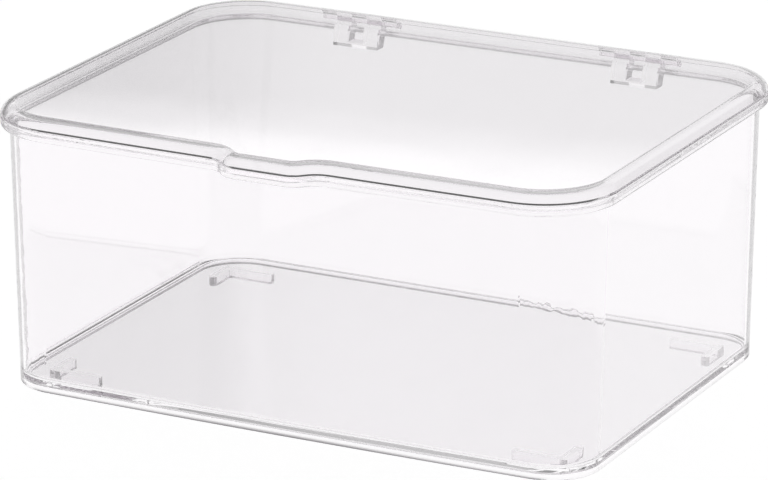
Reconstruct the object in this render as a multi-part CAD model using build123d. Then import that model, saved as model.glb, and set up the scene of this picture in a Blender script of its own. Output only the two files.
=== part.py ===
from build123d import *
import math
import os

# A clear moulded storage box with a hinged lid, in millimetres.
# X runs along the front, -Y faces the user and +Z is up.
# The rim is drawn about the middle of its own rectangle. The pieces are moved at the end, so that
# the origin is on the table under the middle of the whole box, pull tab and hinges included.

# The plan of the rim, which the lid shares
rim_length = 330.0
rim_width = 250.4
rim_corner_radius = 39.0
front_bow = 2.2

# The pull tab in the middle of the front, on the rim and on the lid
tab_projection = 9.3
tab_flat = 26.0
tab_nose_radius = 13.0
tab_root_radius = 13.0

# The tub
tub_height = 139.3
base_length = 316.2
base_width = 227.4
base_corner_radius = 26.0
wall_thickness = 2.7
floor_thickness = 1.5
floor_rise = 3.6
floor_edge_radius = 3.2
floor_underside_chamfer = 0.8
base_edge_radius = 1.2
draft_margin = 0.5

# The rolled rim and the ledge inside it
rim_overhang = 4.6
rim_depth = 5.8
rim_lip_thickness = 2.5
rim_ledge_thickness = 2.5
rim_roll_share = 0.58
rim_root_share = 0.32
ledge_round_share = 0.5
pocket_chamfer = 0.8
edge_softening = 0.4

# The four L-shaped feet under the floor
foot_height = 1.2
foot_width = 4.5
foot_long_arm = 29.0
foot_short_arm = 21.0
foot_side_inset = 15.6
foot_front_inset = 20.6
foot_round_share = 0.35

# The lid
lid_gap = 0.4
lid_height = 5.7
lid_thickness = 2.4
lid_shoulder_radius = 7.6
lid_side_lean = 16.0

# The two hinges on the back
hinge_spacing = 159.4
knuckle_count = 5
knuckle_pitch = 8.7
knuckle_gap = 0.4
knuckle_radius = 3.2
knuckle_to_rim = 0.4
hinge_axis_drop = 2.4
pin_diameter = 2.5
pin_running_clearance = 0.06
pin_end_chamfer = 0.3
shelf_reach = 7.2
shelf_thickness = 2.4
shelf_drop = 9.2
arm_rise_share = 0.66
arm_bite_share = 0.8
arm_top_bite_share = 0.45

# How far a cutting shape runs past what it cuts
cut_overrun = 2.0

# Worked out from the sizes above
rim_plan = (rim_length, rim_width, rim_corner_radius)
base_plan = (base_length, base_width, base_corner_radius)
mouth_plan = (
    rim_length - 2 * rim_overhang,
    rim_width - 2 * rim_overhang,
    rim_corner_radius - rim_overhang,
)
rim_top = foot_height + tub_height
rim_bottom = rim_top - rim_depth
ledge_top = rim_bottom + rim_ledge_thickness
floor_bottom = foot_height + floor_rise
floor_top = floor_bottom + floor_thickness
rim_root_radius = rim_overhang * rim_root_share
draft_start = floor_top + floor_edge_radius + draft_margin
draft_end = rim_bottom - rim_root_radius - draft_margin
lid_bottom = rim_top + lid_gap
lid_top = lid_bottom + lid_height
rim_back = rim_width / 2
axis_y = rim_back + knuckle_to_rim + knuckle_radius
axis_z = rim_top - hinge_axis_drop
shelf_bottom = rim_bottom - shelf_drop
pin_radius = pin_diameter / 2
front_reach = rim_width / 2 + front_bow + tab_projection
back_reach = axis_y + knuckle_radius
middle_y = (back_reach - front_reach) / 2


def arc(centre, start, end):
    """The short arc about a centre from one point to another."""
    to_start = start - centre
    to_end = end - centre
    middle = centre + (to_start + to_end).normalized() * to_start.length
    return ThreePointArc(start, middle, end)


def towards(centre, target, distance):
    """The point at a distance from a centre in the direction of a target."""
    return centre + (target - centre).normalized() * distance


def mirrored(point):
    """The same point on the other side of the box."""
    return Vector(-point.X, point.Y)


def tab_edges(bow_centre, bow_radius, inset):
    """One flank of the pull tab with half of its front, and the point where it leaves the rim."""
    nose_y = bow_centre.Y - bow_radius - tab_projection + tab_nose_radius
    nose = Vector(tab_flat / 2, nose_y)
    bow_to_root = bow_radius + tab_root_radius
    nose_to_root = tab_nose_radius + tab_root_radius
    to_nose = nose - bow_centre
    turn_share = (to_nose.length**2 + bow_to_root**2 - nose_to_root**2) / (
        2 * to_nose.length * bow_to_root
    )
    angle = math.atan2(to_nose.X, -to_nose.Y) + math.acos(turn_share)
    root = bow_centre + Vector(math.sin(angle), -math.cos(angle)) * bow_to_root
    nose_start = nose - Vector(0, tab_nose_radius - inset)
    nose_end = towards(nose, root, tab_nose_radius - inset)
    root_end = towards(bow_centre, root, bow_radius - inset)
    flank = [arc(nose, nose_start, nose_end), arc(root, nose_end, root_end)]
    return flank, nose_start, root_end


def outline(plan, inset=0, has_tab=False):
    """The plan of the box: straight back and sides, round corners and a slightly bowed front."""
    length, width, corner_radius = plan
    bow_radius = ((length / 2) ** 2 + front_bow**2) / (2 * front_bow)
    bow_centre = Vector(0, bow_radius - front_bow - width / 2)
    corner_x = length / 2 - corner_radius
    corner_reach = math.sqrt((bow_radius - corner_radius) ** 2 - corner_x**2)
    front_corner = Vector(corner_x, bow_centre.Y - corner_reach)
    back_corner = Vector(corner_x, width / 2 - corner_radius)
    bow_end = towards(bow_centre, front_corner, bow_radius - inset)
    side_start = Vector(length / 2 - inset, front_corner.Y)
    side_end = Vector(length / 2 - inset, back_corner.Y)
    back_end = Vector(corner_x, width / 2 - inset)
    half = [
        arc(front_corner, bow_end, side_start),
        Line(side_start, side_end),
        arc(back_corner, side_end, back_end),
    ]
    middle = [Line(back_end, mirrored(back_end))]
    if has_tab:
        flank, nose_start, root_end = tab_edges(bow_centre, bow_radius, inset)
        half += flank + [arc(bow_centre, root_end, bow_end)]
        middle.append(Line(mirrored(nose_start), nose_start))
    else:
        middle.append(arc(bow_centre, mirrored(bow_end), bow_end))
    return make_face(half + [edge.mirror(Plane.YZ) for edge in half] + middle)


def plan_at(height):
    """The plan of the wall's outside at a height above the table."""
    share = (height - draft_start) / (draft_end - draft_start)
    share = min(max(share, 0), 1)
    return [low + (high - low) * share for low, high in zip(base_plan, mouth_plan)]


def level_faces(shape):
    """The flat level faces of a shape, lowest first."""
    return shape.faces().filter_by(Plane.XY).sort_by(Axis.Z)


def lowest_edges(shape):
    """The edges round the bottom of a shape."""
    return shape.edges().group_by(Axis.Z)[0]


def side_profile(y, z):
    """A place in the upright plane across the hinges, whose first axis runs to the back."""
    return Plane.YZ * Pos(y, z)


def drafted_block(bottom, inset):
    """A block up to the rim's top: drafted, with an upright band at each end that its rounds sit on."""
    low_plan = outline(base_plan, inset)
    high_plan = outline(mouth_plan, inset)
    block = extrude(Pos(0, 0, bottom) * low_plan, amount=draft_start - bottom)
    block += loft([Pos(0, 0, draft_start) * low_plan, Pos(0, 0, draft_end) * high_plan], ruled=True)
    return block + extrude(Pos(0, 0, draft_end) * high_plan, amount=rim_top - draft_end)


def tub_outside():
    """The drafted wall with the rolled rim round its mouth, as one solid block."""
    wall = drafted_block(foot_height, 0)
    wall = fillet(lowest_edges(wall), base_edge_radius)
    rim = extrude(Pos(0, 0, rim_bottom) * outline(rim_plan, has_tab=True), amount=rim_depth)
    rim = fillet(lowest_edges(rim), min(rim_overhang, rim_depth) * rim_roll_share)
    block = wall + rim
    underside = level_faces(block)[1]
    return fillet(underside.inner_wires()[0].edges(), rim_root_radius)


def tub_hollow():
    """The space inside the tub, with the step that widens its mouth."""
    space = fillet(lowest_edges(drafted_block(floor_top, wall_thickness)), floor_edge_radius)
    pocket = extrude(
        Pos(0, 0, ledge_top) * outline(rim_plan, rim_lip_thickness, has_tab=True),
        amount=rim_top - ledge_top + cut_overrun,
    )
    pocket = chamfer(lowest_edges(pocket), pocket_chamfer)
    hollow = space + pocket
    ledge = level_faces(hollow)[1]
    return fillet(ledge.inner_wires()[0].edges(), wall_thickness * ledge_round_share)


def floor_recess():
    """The shallow space under the floor, inside the bottom of the wall."""
    recess = extrude(
        Pos(0, 0, foot_height - cut_overrun) * outline(base_plan, wall_thickness),
        amount=floor_rise + cut_overrun,
    )
    return chamfer(recess.edges().group_by(Axis.Z)[-1], floor_underside_chamfer)


def feet():
    """Four L-shaped ridges under the corners of the floor."""
    corner_x = base_length / 2 - foot_side_inset
    corner_y = base_width / 2 - foot_front_inset
    long_arm = Pos(corner_x - foot_long_arm / 2, corner_y - foot_width / 2)
    short_arm = Pos(corner_x - foot_width / 2, corner_y - foot_short_arm / 2)
    shape = long_arm * Rectangle(foot_long_arm, foot_width)
    shape += short_arm * Rectangle(foot_width, foot_short_arm)
    foot = extrude(fillet(shape.vertices(), foot_width * foot_round_share), amount=floor_bottom)
    beside = [foot, foot.mirror(Plane.YZ)]
    return beside + [piece.mirror(Plane.XZ) for piece in beside]


def knuckle_place(hinge_x, number):
    """Where a knuckle of a hinge begins along X, counted from the left."""
    middle = hinge_x + (number - (knuckle_count - 1) / 2) * knuckle_pitch
    return middle - (knuckle_pitch - knuckle_gap) / 2


def along_hinge(profile, start, length):
    """A profile of the hinge's side view, extruded along the hinge."""
    return Pos(start, 0, 0) * extrude(profile, amount=length, dir=(1, 0, 0))


def leg_profile():
    """The side view of a tub knuckle with the leg that carries it down to the shelf."""
    start_y, end_y = shelf_span()
    shape = make_hull(
        [
            Pos(axis_y, axis_z) * CenterArc((0, 0), knuckle_radius, 0, 360),
            Line((start_y, shelf_bottom), (start_y, rim_bottom)),
            Line((end_y, shelf_bottom), (end_y, shelf_bottom + shelf_thickness)),
        ]
    )
    return Plane.YZ * shape


def shelf_span():
    """Where the shelf of a hinge begins inside the wall and where it ends behind it."""
    wall_y = plan_at(shelf_bottom)[1] / 2
    return wall_y - wall_thickness / 2, wall_y + shelf_reach


def shelf_profile():
    """The side view of the shelf that joins the two legs of a hinge."""
    start_y, end_y = shelf_span()
    middle = side_profile((start_y + end_y) / 2, shelf_bottom + shelf_thickness / 2)
    return middle * Rectangle(end_y - start_y, shelf_thickness)


def tub_bracket(hinge_x):
    """The U-shaped bracket on the back of the tub with its two knuckles."""
    length = knuckle_pitch - knuckle_gap
    first = knuckle_place(hinge_x, 1)
    last = knuckle_place(hinge_x, knuckle_count - 2)
    legs = [along_hinge(leg_profile(), start, length) for start in (first, last)]
    shelf = along_hinge(shelf_profile(), first, last + length - first)
    return legs + [shelf]


def hinge_bore(hinge_x, radius):
    """The hole for a pin through every knuckle of a hinge."""
    length = knuckle_count * knuckle_pitch + 2 * cut_overrun
    return along_hinge(side_profile(axis_y, axis_z) * Circle(radius), hinge_x - length / 2, length)


def hinge_places():
    """The middle of each hinge along X."""
    return (-hinge_spacing / 2, hinge_spacing / 2)


def make_tub():
    """The tub: wall, floor, rim, pull tab, feet and the two hinge brackets in one moulding."""
    tub = tub_outside()
    for hinge_x in hinge_places():
        tub += tub_bracket(hinge_x)
    tub -= tub_hollow()
    tub -= floor_recess()
    tub = chamfer(level_faces(tub)[-1].edges(), edge_softening)
    tub += feet()
    for hinge_x in hinge_places():
        tub -= hinge_bore(hinge_x, pin_radius)
    return tub


def lid_block(depth, drop):
    """The lid's form at a depth under its outside, down to a drop below its edge."""
    lean = math.radians(lid_side_lean)
    inset = depth / math.cos(lean) - drop * math.tan(lean)
    plan = Pos(0, 0, lid_bottom - drop) * outline(rim_plan, inset, has_tab=True)
    block = extrude(plan, amount=lid_height + drop - depth, taper=lid_side_lean)
    return fillet(block.edges().group_by(Axis.Z)[-1], lid_shoulder_radius - depth)


def arm_profile():
    """The side view of a lid knuckle with the arm that joins it to the back of the lid."""
    low_y = rim_back - lid_thickness * arm_bite_share
    high_y = rim_back - lid_shoulder_radius * arm_top_bite_share
    arm_top = lid_bottom + lid_height * arm_rise_share
    shape = make_hull(
        [
            Pos(axis_y, axis_z) * CenterArc((0, 0), knuckle_radius, 0, 360),
            Line((low_y, lid_bottom), (high_y, arm_top)),
        ]
    )
    below = Pos((low_y + axis_y) / 2, lid_bottom - lid_height) * Rectangle(axis_y - low_y, 2 * lid_height)
    barrel = Pos(axis_y, axis_z) * Circle(knuckle_radius)
    return Plane.YZ * (shape - below + barrel)


def make_lid():
    """The lid: cap, pull tab and the knuckles of both hinges in one moulding."""
    lid = lid_block(0, 0) - lid_block(lid_thickness, cut_overrun)
    for hinge_x in hinge_places():
        for number in range(0, knuckle_count, 2):
            start = knuckle_place(hinge_x, number)
            lid += along_hinge(arm_profile(), start, knuckle_pitch - knuckle_gap)
        lid -= hinge_bore(hinge_x, pin_radius + pin_running_clearance)
    return lid


def make_pin(hinge_x):
    """One hinge pin, held by the tub's knuckles."""
    length = knuckle_count * knuckle_pitch - knuckle_gap
    pin = along_hinge(side_profile(axis_y, axis_z) * Circle(pin_radius), hinge_x - length / 2, length)
    return chamfer(pin.edges().filter_by(GeomType.CIRCLE), pin_end_chamfer)


def main():
    left, right = hinge_places()
    pieces = {
        "tub": make_tub(),
        "lid": make_lid(),
        "hinge_pin_left": make_pin(left),
        "hinge_pin_right": make_pin(right),
    }
    os.makedirs("parts", exist_ok=True)
    for name, piece in pieces.items():
        export_step(Pos(0, -middle_y, 0) * piece, f"parts/{name}.step")
    print("hinge axis at y", round(axis_y - middle_y, 3), "z", round(axis_z, 3))


main()
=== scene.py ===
"""Looks of a storage box: clear plastic for its pieces, a pale floor, soft light and a camera."""

import math

import bpy
from bpy.props import FloatProperty, FloatVectorProperty, PointerProperty
from mathutils import Matrix, Vector

bl_info = {
    "name": "Clear Storage Box",
    "version": (1, 0, 0),
    "blender": (4, 5, 0),
    "location": "3D View > Sidebar > Storage Box",
    "description": "Dresses a hinged storage box in clear plastic and sets it on a pale floor",
    "category": "Object",
}

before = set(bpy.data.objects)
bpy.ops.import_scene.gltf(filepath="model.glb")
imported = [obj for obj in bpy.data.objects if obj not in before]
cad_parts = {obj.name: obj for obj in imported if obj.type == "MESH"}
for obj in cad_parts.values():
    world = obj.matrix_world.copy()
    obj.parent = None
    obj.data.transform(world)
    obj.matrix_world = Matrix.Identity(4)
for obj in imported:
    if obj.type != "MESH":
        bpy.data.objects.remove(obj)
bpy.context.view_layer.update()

PHOTO_WIDTH = 768
PHOTO_HEIGHT = 480
CAMERA_REACH = 100.0

# Light is thrown back many times between the two faces of a clear plate before it gets out
LIGHT_BOUNCES = 1000

# The sockets of a Mix node that carry colours
MIX_FIRST, MIX_SECOND, MIX_RESULT = 6, 7, 2

# Spans on the tub in metres: heights at which its painted contact shadow, a dark line low on its
# front, comes in and goes out and its scuffed underside goes out, and the distance in front of the
# origin at which its front wall comes in
PAINTED_SHADOW_IN = (0.001, 0.0018)
PAINTED_SHADOW_OUT = (0.0018, 0.0034)
UNDERSIDE_OUT = (0.005, 0.006)
FRONT_WALL_IN = (0.1097, 0.1117)

# Spans from 0 to 1: how level a face is, how far it faces down, and the noise that makes it rubbed
LEVEL_IN = (0.75, 0.95)
DOWN_IN = (0.5, 0.9)
RUBBED_IN = (0.5, 0.8)
RUBBED_PER_WAVE = 3.0

# Spans in the sky as sines of angles, to the right and upwards, and half the width of soft edges
RIGHT_SIDE_IN = (-0.05, 0.0)
HIGH_SKY_IN = (0.35, 0.5)
SCREEN_FADE = 0.02
STRIP_FADE = 0.0075


class Signal:
    """A number socket of a node tree that takes part in Python sums."""

    def __init__(self, graph, socket):
        self.graph = graph
        self.socket = socket

    def join(self, operation, first, second):
        """A Math node on two numbers or signals."""
        node = self.graph.node("ShaderNodeMath", {"operation": operation}, {0: first, 1: second})
        return Signal(self.graph, node.outputs[0])

    def __add__(self, other):
        return self.join("ADD", self, other)

    def __radd__(self, other):
        return self.join("ADD", other, self)

    def __sub__(self, other):
        return self.join("SUBTRACT", self, other)

    def __rsub__(self, other):
        return self.join("SUBTRACT", other, self)

    def __mul__(self, other):
        return self.join("MULTIPLY", self, other)

    def __rmul__(self, other):
        return self.join("MULTIPLY", other, self)

    def __abs__(self):
        return self.join("ABSOLUTE", self, 0.0)


class Graph:
    """The node tree of one material or world, filled by Python calls."""

    def __init__(self, tree):
        self.tree = tree
        tree.nodes.clear()

    def node(self, kind, settings=None, inputs=None):
        """A node of a type, with its settings set first and then its sockets' values or links."""
        made = self.tree.nodes.new(kind)
        for name, value in (settings or {}).items():
            setattr(made, name, value)
        for key, value in (inputs or {}).items():
            self.feed(made.inputs[key], value)
        return made

    def feed(self, socket, value):
        """Links a socket to a signal or another socket, or sets its value."""
        if isinstance(value, Signal):
            self.tree.links.new(value.socket, socket)
        elif isinstance(value, bpy.types.NodeSocket):
            self.tree.links.new(value, socket)
        else:
            socket.default_value = value

    def number(self, kind, settings=None, inputs=None, output=0):
        """A node's output as a signal for sums."""
        return Signal(self, self.node(kind, settings, inputs).outputs[output])

    def blend(self, factor, first, second):
        """A colour between two colours."""
        node = self.node(
            "ShaderNodeMix",
            {"data_type": "RGBA"},
            {"Factor": factor, MIX_FIRST: first, MIX_SECOND: second},
        )
        return node.outputs[MIX_RESULT]

    def ramp(self, signal, start, end):
        """From 0 to 1, with soft ends, as a signal goes from one number to another."""
        return self.number(
            "ShaderNodeMapRange",
            {"interpolation_type": "SMOOTHSTEP"},
            {"Value": signal, "From Min": start, "From Max": end},
        )

    def spread(self, signal, low, high):
        """A signal between 0 and 1 spread between two other numbers."""
        return signal * (high - low) + low

    def noise(self, place, scale, detail, roughness):
        """Smooth noise in space, between 0 and 1."""
        return self.number(
            "ShaderNodeTexNoise",
            {"noise_dimensions": "3D"},
            {"Vector": place, "Scale": scale, "Detail": detail, "Roughness": roughness},
        )


class PlasticSettings(bpy.types.PropertyGroup):
    """The clear plastic of every moulded piece."""

    tint: FloatVectorProperty(
        name="Tint",
        description="Colour that the clear plastic takes on with thickness",
        subtype="COLOR",
        size=3,
        default=(0.997, 0.9965, 0.997),
        min=0.0,
        max=1.0,
    )
    depth: FloatProperty(
        name="Depth",
        description="How fast the tint builds up inside the plastic",
        default=60.0,
        min=0.0,
    )
    polished: FloatVectorProperty(
        name="Polished",
        description="Share of light that a polished surface lets through",
        subtype="COLOR",
        size=3,
        default=(0.985, 0.973, 0.985),
        min=0.0,
        max=1.0,
    )
    bloom: FloatVectorProperty(
        name="Bloom",
        description="Share of light that a slightly rubbed surface lets through",
        subtype="COLOR",
        size=3,
        default=(0.975, 0.963, 0.975),
        min=0.0,
        max=1.0,
    )
    # Painted shade: the plastic's colour darkens where a surface turns away from the eye, standing
    # in for the dark edges that refraction and reflection give it
    edge: FloatVectorProperty(
        name="Edge",
        description="Share of light let through where a surface turns away from the eye",
        subtype="COLOR",
        size=3,
        default=(0.36, 0.35, 0.36),
        min=0.0,
        max=1.0,
    )
    painted_shade_start: FloatProperty(
        name="Edge Start",
        description="How far a surface turns away before its edge colour begins",
        default=0.64,
        min=0.0,
        max=1.0,
    )
    painted_shade_full: FloatProperty(
        name="Edge Full",
        description="How far a surface turns away when its edge colour is full",
        default=0.7,
        min=0.0,
        max=1.0,
    )
    painted_shade_level: FloatProperty(
        name="Edge Level",
        description="How much further a level surface turns away before its edge colour begins",
        default=0.2,
        min=0.0,
        max=1.0,
    )
    ior: FloatProperty(
        name="Refractive Index",
        description="How strongly the plastic bends light",
        default=1.49,
        min=1.0,
        max=2.0,
    )
    polish: FloatProperty(
        name="Polish",
        description="Roughness of the polished surface",
        default=0.0,
        min=0.0,
        max=1.0,
    )
    haze: FloatProperty(
        name="Haze",
        description="Roughness where the surface is rubbed",
        default=0.02,
        min=0.0,
        max=1.0,
    )
    scuff: FloatProperty(
        name="Scuff",
        description="Roughness added to the underside of the tub",
        default=0.12,
        min=0.0,
        max=1.0,
    )
    # Painted contact shadow: a dark band low on the front of the tub in place of the shade under
    # its bottom edge
    painted_contact_shadow: FloatVectorProperty(
        name="Foot Line",
        description="Share of light let through low on the front of the tub",
        subtype="COLOR",
        size=3,
        default=(0.1, 0.09, 0.1),
        min=0.0,
        max=1.0,
    )
    wave_length: FloatProperty(
        name="Wave Length",
        description="Distance between the slow waves of a moulded wall",
        default=0.07,
        unit="LENGTH",
        subtype="DISTANCE",
        min=0.001,
    )
    wave_height: FloatProperty(
        name="Wave Height",
        description="Height of the slow waves of a moulded wall",
        default=0.00002,
        unit="LENGTH",
        subtype="DISTANCE",
        min=0.0,
    )


class StageSettings(bpy.types.PropertyGroup):
    """The floor and the soft light around the box."""

    floor_size: FloatProperty(
        name="Floor Size",
        description="Side of the square floor",
        default=24.0,
        unit="LENGTH",
        subtype="DISTANCE",
    )
    floor_colour: FloatVectorProperty(
        name="Floor Colour",
        description="Colour of the plain floor",
        subtype="COLOR",
        size=3,
        default=(0.4, 0.4, 0.4),
        min=0.0,
        max=1.0,
    )
    floor_glow: FloatProperty(
        name="Floor Glow",
        description="Light that the floor adds of its own",
        default=0.95,
        min=0.0,
    )
    floor_drop: FloatProperty(
        name="Floor Drop",
        description="Thin air gap between the feet and the floor",
        default=0.0001,
        unit="LENGTH",
        subtype="DISTANCE",
        min=0.0,
    )
    surround: FloatProperty(
        name="Surround",
        description="Brightness of the dim studio all round",
        default=0.1,
        min=0.0,
    )
    behind_left: FloatProperty(
        name="Behind Left",
        description="Brightness of the screen behind the box, to the left",
        default=0.3,
        min=0.0,
    )
    behind_right: FloatProperty(
        name="Behind Right",
        description="Brightness of the screen behind the box, to the right",
        default=0.58,
        min=0.0,
    )
    strip_glow: FloatProperty(
        name="Strip Glow",
        description="Brightness of the light strip across the screen",
        default=1.2,
        min=0.0,
    )
    strip_low: FloatProperty(
        name="Strip Low",
        description="Angle above the floor of the strip's lower edge",
        default=math.radians(16.9),
        unit="ROTATION",
        subtype="ANGLE",
    )
    strip_high: FloatProperty(
        name="Strip High",
        description="Angle above the floor of the strip's upper edge",
        default=math.radians(18),
        unit="ROTATION",
        subtype="ANGLE",
    )
    strip_tilt: FloatProperty(
        name="Strip Tilt",
        description="How far the strip climbs to the right",
        default=0.09,
    )
    screen_edge: FloatProperty(
        name="Screen Edge",
        description="Angle from straight behind the box at which the screen ends",
        default=math.radians(47),
        unit="ROTATION",
        subtype="ANGLE",
    )


class CameraSettings(bpy.types.PropertyGroup):
    """Where the camera stands, as seen from the box."""

    azimuth: FloatProperty(
        name="Azimuth",
        description="Turn of the camera round the box",
        default=math.radians(27.256),
        unit="ROTATION",
        subtype="ANGLE",
    )
    elevation: FloatProperty(
        name="Elevation",
        description="Height of the camera as an angle",
        default=math.radians(18.037),
        unit="ROTATION",
        subtype="ANGLE",
    )
    roll: FloatProperty(
        name="Roll",
        description="Turn of the camera about its own axis",
        default=math.radians(-0.09),
        unit="ROTATION",
        subtype="ANGLE",
    )
    distance: FloatProperty(
        name="Distance",
        description="From the camera to its target",
        default=2.48199,
        unit="LENGTH",
        subtype="DISTANCE",
    )
    target: FloatVectorProperty(
        name="Target",
        description="The point that the camera aims at",
        default=(-0.010749, -0.010093, 0.069055),
        size=3,
        unit="LENGTH",
        subtype="TRANSLATION",
    )
    focal_pixels: FloatProperty(
        name="Focal Length",
        description="Focal length in pixels of the photo",
        default=4976.04,
        subtype="PIXEL",
    )
    centre_x: FloatProperty(
        name="Centre X",
        description="Column of the photo that the lens points at",
        default=356.814,
        subtype="PIXEL",
    )
    centre_y: FloatProperty(
        name="Centre Y",
        description="Row of the photo that the lens points at",
        default=240.852,
        subtype="PIXEL",
    )


def clear_plastic(name, settings, stands=False):
    """The clear gloss plastic of a moulded piece, with slow waves and passing haze.

    A piece that stands on the floor also has a painted contact shadow low on its front and a
    scuffed underside.
    """
    material = bpy.data.materials.new(name)
    material.use_nodes = True
    graph = Graph(material.node_tree)
    surface = graph.node("ShaderNodeTexCoord")
    place = surface.outputs["Object"]
    waves = graph.noise(place, 1.0 / settings.wave_length, detail=1.0, roughness=0.4)
    rubbed = graph.noise(place, RUBBED_PER_WAVE / settings.wave_length, detail=4.0, roughness=0.6)
    cloud = graph.ramp(rubbed, *RUBBED_IN)
    upward = graph.number(
        "ShaderNodeSeparateXYZ",
        None,
        {"Vector": surface.outputs["Normal"]},
        output="Z",
    )
    level = abs(upward)
    # Painted shade: a darker colour where the surface turns away from the eye, less so on level
    # faces
    turned = graph.number("ShaderNodeLayerWeight", None, {"Blend": 0.5}, output="Facing")
    edge = graph.ramp(turned - level * settings.painted_shade_level, settings.painted_shade_start, settings.painted_shade_full)
    bump = graph.node(
        "ShaderNodeBump",
        None,
        {"Height": waves, "Strength": 1.0, "Distance": settings.wave_height},
    )
    clear = graph.blend(cloud, (*settings.polished, 1.0), (*settings.bloom, 1.0))
    colour = graph.blend(edge, clear, (*settings.edge, 1.0))
    rough = graph.spread(cloud, settings.polish, settings.haze)
    if stands:
        parts = graph.node("ShaderNodeSeparateXYZ", None, {"Vector": place})
        height = Signal(graph, parts.outputs["Z"])
        forward = -1 * Signal(graph, parts.outputs["Y"])
        # Painted contact shadow: a dark band low on the front wall of the tub
        front = graph.ramp(forward, *FRONT_WALL_IN) * (1 - graph.ramp(level, *LEVEL_IN))
        low = graph.ramp(height, *PAINTED_SHADOW_IN) * (1 - graph.ramp(height, *PAINTED_SHADOW_OUT))
        colour = graph.blend(low * front, colour, (*settings.painted_contact_shadow, 1.0))
        under = graph.ramp(-1 * upward, *DOWN_IN) * (1 - graph.ramp(height, *UNDERSIDE_OUT))
        rough = rough + under * settings.scuff
    shader = graph.node(
        "ShaderNodeBsdfPrincipled",
        None,
        {
            "Base Color": colour,
            "Roughness": rough,
            "IOR": settings.ior,
            "Transmission Weight": 1.0,
            "Normal": bump.outputs["Normal"],
        },
    )
    inside = graph.node(
        "ShaderNodeVolumeAbsorption",
        None,
        {"Color": (*settings.tint, 1.0), "Density": settings.depth},
    )
    graph.node(
        "ShaderNodeOutputMaterial",
        None,
        {"Surface": shader.outputs["BSDF"], "Volume": inside.outputs["Volume"]},
    )
    return material


def dress(node_name, material):
    """Gives a piece of the frame its material in place of the plain one."""
    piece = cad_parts[node_name]
    for material_slot in piece.material_slots:
        material_slot.material = material


class STORAGEBOX_OT_finish_tub(bpy.types.Operator):
    """Dress the tub in clear plastic"""

    bl_idname = "storagebox.finish_tub"
    bl_label = "Tub"

    def execute(self, context):
        dress("tub", clear_plastic("clear_tub", context.scene.box_plastic, stands=True))
        return {"FINISHED"}


class STORAGEBOX_OT_finish_lid(bpy.types.Operator):
    """Dress the lid in clear plastic"""

    bl_idname = "storagebox.finish_lid"
    bl_label = "Lid"

    def execute(self, context):
        dress("lid", clear_plastic("clear_lid", context.scene.box_plastic))
        return {"FINISHED"}


class STORAGEBOX_OT_finish_hinge_pins(bpy.types.Operator):
    """Dress both hinge pins in clear plastic"""

    bl_idname = "storagebox.finish_hinge_pins"
    bl_label = "Hinge Pins"

    def execute(self, context):
        material = clear_plastic("clear_pin", context.scene.box_plastic)
        for side in ("left", "right"):
            dress(f"hinge_pin_{side}", material)
        return {"FINISHED"}


def make_floor(settings):
    """The plain pale floor under the box."""
    material = bpy.data.materials.new("pale_floor")
    material.use_nodes = True
    graph = Graph(material.node_tree)
    shader = graph.node(
        "ShaderNodeBsdfPrincipled",
        None,
        {
            "Base Color": (*settings.floor_colour, 1.0),
            "Roughness": 1.0,
            "Specular IOR Level": 0.0,
            "Emission Color": (1.0, 1.0, 1.0, 1.0),
            "Emission Strength": settings.floor_glow,
        },
    )
    graph.node("ShaderNodeOutputMaterial", None, {"Surface": shader.outputs["BSDF"]})
    half = settings.floor_size / 2
    mesh = bpy.data.meshes.new("floor")
    corners = [(-half, -half, 0), (half, -half, 0), (half, half, 0), (-half, half, 0)]
    mesh.from_pydata(corners, [], [(0, 1, 2, 3)])
    mesh.materials.append(material)
    floor = bpy.data.objects.new("floor", mesh)
    floor.location.z = -settings.floor_drop
    bpy.context.scene.collection.objects.link(floor)


def make_sky(settings, azimuth):
    """A dim studio with a wide glowing screen behind the box and a brighter strip across it."""
    world = bpy.data.worlds.new("studio")
    world.use_nodes = True
    graph = Graph(world.node_tree)
    direction = graph.node("ShaderNodeTexCoord").outputs["Generated"]

    def along(x, y, z):
        """How far the direction points along another one."""
        return graph.number(
            "ShaderNodeVectorMath",
            {"operation": "DOT_PRODUCT"},
            {0: direction, 1: (x, y, z)},
            output="Value",
        )

    ahead = along(-math.sin(azimuth), math.cos(azimuth), 0)
    across = along(math.cos(azimuth), math.sin(azimuth), 0)
    rise = along(0, 0, 1) - across * settings.strip_tilt
    low, high = math.sin(settings.strip_low), math.sin(settings.strip_high)
    above_low = graph.ramp(rise, low - STRIP_FADE, low + STRIP_FADE)
    strip = above_low * (1 - graph.ramp(rise, high - STRIP_FADE, high + STRIP_FADE))
    dim = (1 - graph.ramp(across, *RIGHT_SIDE_IN)) * (1 - graph.ramp(rise, *HIGH_SKY_IN))
    plain = graph.spread(dim, settings.behind_right, settings.behind_left)
    screen = plain + strip * (settings.strip_glow - plain)
    end = math.cos(settings.screen_edge)
    inside = graph.ramp(ahead, end - SCREEN_FADE, end + SCREEN_FADE)
    light = settings.surround + inside * (screen - settings.surround)
    back = graph.node("ShaderNodeBackground", None, {"Color": (1, 1, 1, 1), "Strength": light})
    graph.node("ShaderNodeOutputWorld", None, {"Surface": back.outputs["Background"]})
    bpy.context.scene.world = world


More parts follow.
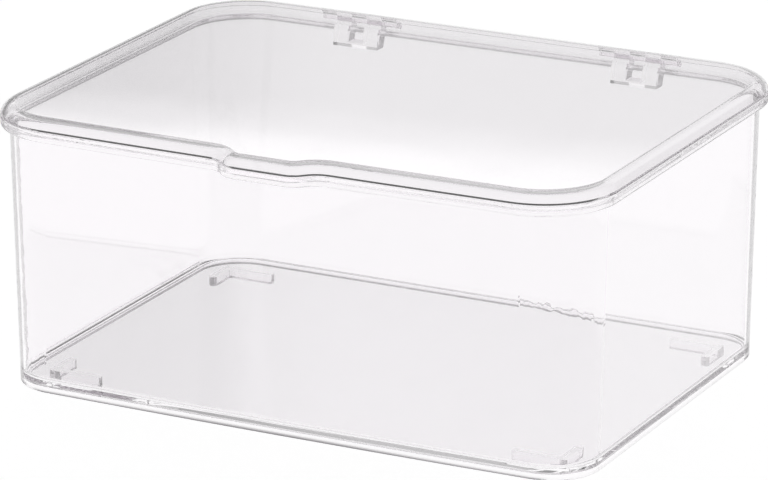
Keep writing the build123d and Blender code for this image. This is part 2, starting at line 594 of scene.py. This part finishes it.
def make_camera(settings):
    """The camera at the photo's viewing angle."""
    camera = bpy.data.cameras.new("camera")
    camera.sensor_fit = "HORIZONTAL"
    camera.lens = settings.focal_pixels / PHOTO_WIDTH * camera.sensor_width
    camera.shift_x = ((PHOTO_WIDTH - 1) / 2 - settings.centre_x) / PHOTO_WIDTH
    camera.shift_y = (settings.centre_y - (PHOTO_HEIGHT - 1) / 2) / PHOTO_WIDTH
    camera.clip_end = CAMERA_REACH
    turn, rise = settings.azimuth, settings.elevation
    back = Vector((
        math.sin(turn) * math.cos(rise),
        -math.cos(turn) * math.cos(rise),
        math.sin(rise),
    ))
    right = (-back).cross(Vector((0, 0, 1))).normalized()
    up = back.cross(right)
    eye = bpy.data.objects.new("camera", camera)
    facing = Matrix((right, up, back)).transposed().to_4x4()
    eye.matrix_world = (
        Matrix.Translation(Vector(settings.target) + back * settings.distance)
        @ facing
        @ Matrix.Rotation(settings.roll, 4, "Z")
    )
    bpy.context.scene.collection.objects.link(eye)
    bpy.context.scene.camera = eye


class STORAGEBOX_OT_build_stage(bpy.types.Operator):
    """Make the pale floor, the soft studio light and the camera"""

    bl_idname = "storagebox.build_stage"
    bl_label = "Stage"

    def execute(self, context):
        scene = context.scene
        make_floor(scene.box_stage)
        make_sky(scene.box_stage, scene.box_camera.azimuth)
        make_camera(scene.box_camera)
        scene.view_settings.view_transform = "Standard"
        scene.cycles.max_bounces = LIGHT_BOUNCES
        scene.cycles.transmission_bounces = LIGHT_BOUNCES
        scene.cycles.glossy_bounces = LIGHT_BOUNCES
        return {"FINISHED"}


class STORAGEBOX_PT_panel(bpy.types.Panel):
    """The pieces of the storage box and their settings"""

    bl_idname = "STORAGEBOX_PT_panel"
    bl_label = "Storage Box"
    bl_space_type = "VIEW_3D"
    bl_region_type = "UI"
    bl_category = "Storage Box"

    def draw(self, context):
        for group in SETTINGS:
            settings = getattr(context.scene, group)
            column = self.layout.column(align=True)
            for name in type(settings).__annotations__:
                column.prop(settings, name)
        for operator in OPERATORS:
            self.layout.operator(operator.bl_idname)


SETTINGS = {
    "box_plastic": PlasticSettings,
    "box_stage": StageSettings,
    "box_camera": CameraSettings,
}
OPERATORS = (
    STORAGEBOX_OT_finish_tub,
    STORAGEBOX_OT_finish_lid,
    STORAGEBOX_OT_finish_hinge_pins,
    STORAGEBOX_OT_build_stage,
)


def register():
    """Adds the settings, the operators and the panel."""
    for name, group in SETTINGS.items():
        bpy.utils.register_class(group)
        setattr(bpy.types.Scene, name, PointerProperty(type=group))
    for operator in OPERATORS:
        bpy.utils.register_class(operator)
    bpy.utils.register_class(STORAGEBOX_PT_panel)


def unregister():
    """Takes away what register added, in the opposite order."""
    bpy.utils.unregister_class(STORAGEBOX_PT_panel)
    for operator in reversed(OPERATORS):
        bpy.utils.unregister_class(operator)
    for name, group in reversed(SETTINGS.items()):
        delattr(bpy.types.Scene, name)
        bpy.utils.unregister_class(group)


def main():
    """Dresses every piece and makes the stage."""
    register()
    bpy.ops.storagebox.finish_tub()
    bpy.ops.storagebox.finish_lid()
    bpy.ops.storagebox.finish_hinge_pins()
    bpy.ops.storagebox.build_stage()


if __name__ == "__main__":
    main()
